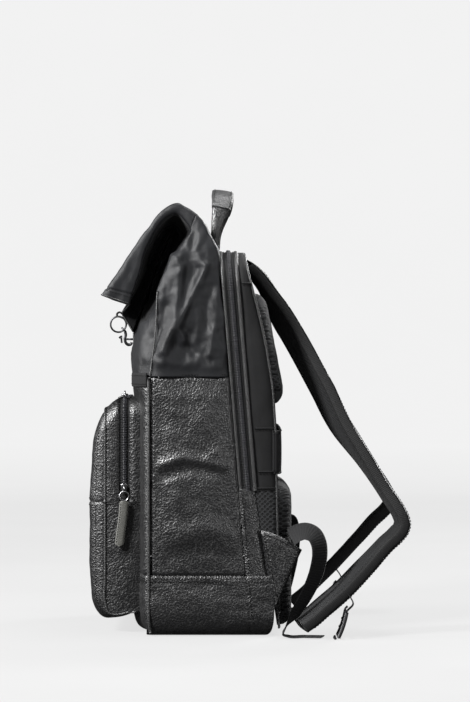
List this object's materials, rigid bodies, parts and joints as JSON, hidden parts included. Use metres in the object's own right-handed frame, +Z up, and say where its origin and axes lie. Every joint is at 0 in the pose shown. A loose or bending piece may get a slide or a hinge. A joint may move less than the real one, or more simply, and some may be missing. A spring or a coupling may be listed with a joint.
{
  "type": "leather backpack",
  "caption": "Roll-top leather backpack with a folded fabric collar, zipped front pocket and rear compartment, padded straps and back pads.",
  "frame": {"origin": "middle of the flat bottom, on the floor the bag stands on", "axes": "+Z up, +Y towards the wearer's back and the shoulder straps, -Y the front pocket, +X the bag's left side as worn from behind"},
  "size_m": [0.352, 0.3221, 0.455],
  "materials": {
    "leather": "black pebbled leather with a soft sheen",
    "smooth_leather": "smooth dark leather trim",
    "coated_fabric": "dark grey coated fabric with soft creases",
    "lining": "dark woven lining over foam",
    "mesh": "black spacer mesh over foam",
    "webbing": "black woven webbing and zip tape",
    "steel": "satin gunmetal steel",
    "black_plastic": "black moulded plastic"
  },
  "bodies": {
    "bag": {"base_boot": "leather", "front_panel": "leather", "side_panel_left": "leather", "side_panel_right": "leather", "front_piping_left": "smooth_leather", "front_piping_right": "smooth_leather", "compartment_divider": "lining", "laptop_sleeve": "lining", "base_board": "black_plastic", "collar": "coated_fabric", "ridge_fold": "coated_fabric", "front_trim_band": "webbing", "hook_anchor": "steel", "rear_zip_tape": "webbing", "rear_zip_coil": "black_plastic", "rear_gusset": "smooth_leather", "back_stiffener": "black_plastic", "back_panel": "mesh", "upper_back_pad": "mesh", "lower_back_pad": "mesh", "luggage_strap": "webbing", "pocket_base": "leather", "pocket_zip_tape": "webbing", "pocket_zip_coil": "steel", "pocket_badge": "smooth_leather", "handle_patch": "leather", "strap_anchor_left": "leather", "strap_anchor_right": "leather", "strap_tab_left": "leather", "strap_tab_right": "leather"},
    "roll_flap": {"flap": "coated_fabric", "ring_tab": "smooth_leather"},
    "ring": {"wire_ring": "steel"},
    "hook": {"snap_hook": "steel"},
    "gate": {"hook_gate": "steel"},
    "pocket_lid": {"pocket_cover": "leather"},
    "side_slider": {"pocket_side_slider": "steel"},
    "side_pull": {"pocket_pull_ring": "steel", "pocket_pull_strip": "smooth_leather"},
    "top_slider": {"pocket_top_slider": "steel"},
    "rear_slider": {"rear_zip_slider": "steel"},
    "rear_pull": {"rear_zip_pull": "smooth_leather"},
    "handle": {"carry_handle": "leather", "handle_grip": "smooth_leather"},
    "strap_left": {"strap_pad_left": "mesh", "strap_leather_left": "leather", "strap_webbing_left": "webbing", "buckle_tab_left": "webbing"},
    "strap_right": {"strap_pad_right": "mesh", "strap_leather_right": "leather", "strap_webbing_right": "webbing", "buckle_tab_right": "webbing"},
    "lock_left": {"ladder_lock_left": "black_plastic"},
    "lock_right": {"ladder_lock_right": "black_plastic"}
  },
  "joints": [
    {"name": "flap_roll", "type": "hinge", "parent": "bag", "child": "roll_flap", "pos_m": [0, -0.042, 0.412], "axis": [-1, 0, 0], "range_deg": [0, 140], "deforming": ["ridge_fold"]},
    {"name": "ring_swing", "type": "hinge", "parent": "roll_flap", "child": "ring", "pos_m": [0, -0.1015, 0.3222], "axis": [-1, 0, 0], "range_deg": [0, 48]},
    {"name": "hook_swing", "type": "hinge", "parent": "ring", "child": "hook", "pos_m": [0, -0.0957, 0.3082], "axis": [-1, 0, 0], "range_deg": [0, 20]},
    {"name": "gate_press", "type": "hinge", "parent": "hook", "child": "gate", "pos_m": [0, -0.0985, 0.3032], "axis": [1, 0, 0], "range_deg": [0, 8], "stiffness_Nm_per_rad": 0.002},
    {"name": "pocket_open", "type": "hinge", "parent": "bag", "child": "pocket_lid", "pos_m": [0, -0.1275, 0.13335], "axis": [1, 0, 0], "range_deg": [0, 25]},
    {"name": "side_zip", "type": "slide", "parent": "bag", "child": "side_slider", "axis": [0, 0, 1], "range_m": [0, 0.068]},
    {"name": "side_pull_swing", "type": "hinge", "parent": "side_slider", "child": "side_pull", "pos_m": [0.11215, -0.0911, 0.1436], "axis": [0, -1, 0], "range_deg": [0, 120]},
    {"name": "top_zip", "type": "slide", "parent": "bag", "child": "top_slider", "axis": [-1, 0, 0], "range_m": [0, 0.17]},
    {"name": "rear_zip", "type": "slide", "parent": "bag", "child": "rear_slider", "axis": [0, -0.0827, 0.9966], "range_m": [0, 0.17]},
    {"name": "rear_pull_swing", "type": "hinge", "parent": "rear_slider", "child": "rear_pull", "pos_m": [-0.148, 0.0323, 0.1685], "axis": [0, 1, 0], "range_deg": [0, 110]},
    {"name": "handle_swing", "type": "hinge", "parent": "bag", "child": "handle", "pos_m": [0, 0.0035, 0.401], "axis": [-1, 0, 0], "range_deg": [0, 60]},
    {"name": "strap_left_swing", "type": "hinge", "parent": "bag", "child": "strap_left", "pos_m": [0.076, 0.04, 0.366], "axis": [0.2593, 0.1494, -0.9542], "range_deg": [0, 35]},
    {"name": "strap_right_swing", "type": "hinge", "parent": "bag", "child": "strap_right", "pos_m": [-0.076, 0.04, 0.366], "axis": [0.2593, -0.1494, 0.9542], "range_deg": [0, 35]},
    {"name": "lock_left_tilt", "type": "hinge", "parent": "strap_left", "child": "lock_left", "pos_m": [0.16, 0.1328, 0.0278], "axis": [1, 0, 0], "range_deg": [0, 12]},
    {"name": "lock_right_tilt", "type": "hinge", "parent": "strap_right", "child": "lock_right", "pos_m": [-0.16, 0.1328, 0.0278], "axis": [1, 0, 0], "range_deg": [0, 12]}
  ]
}
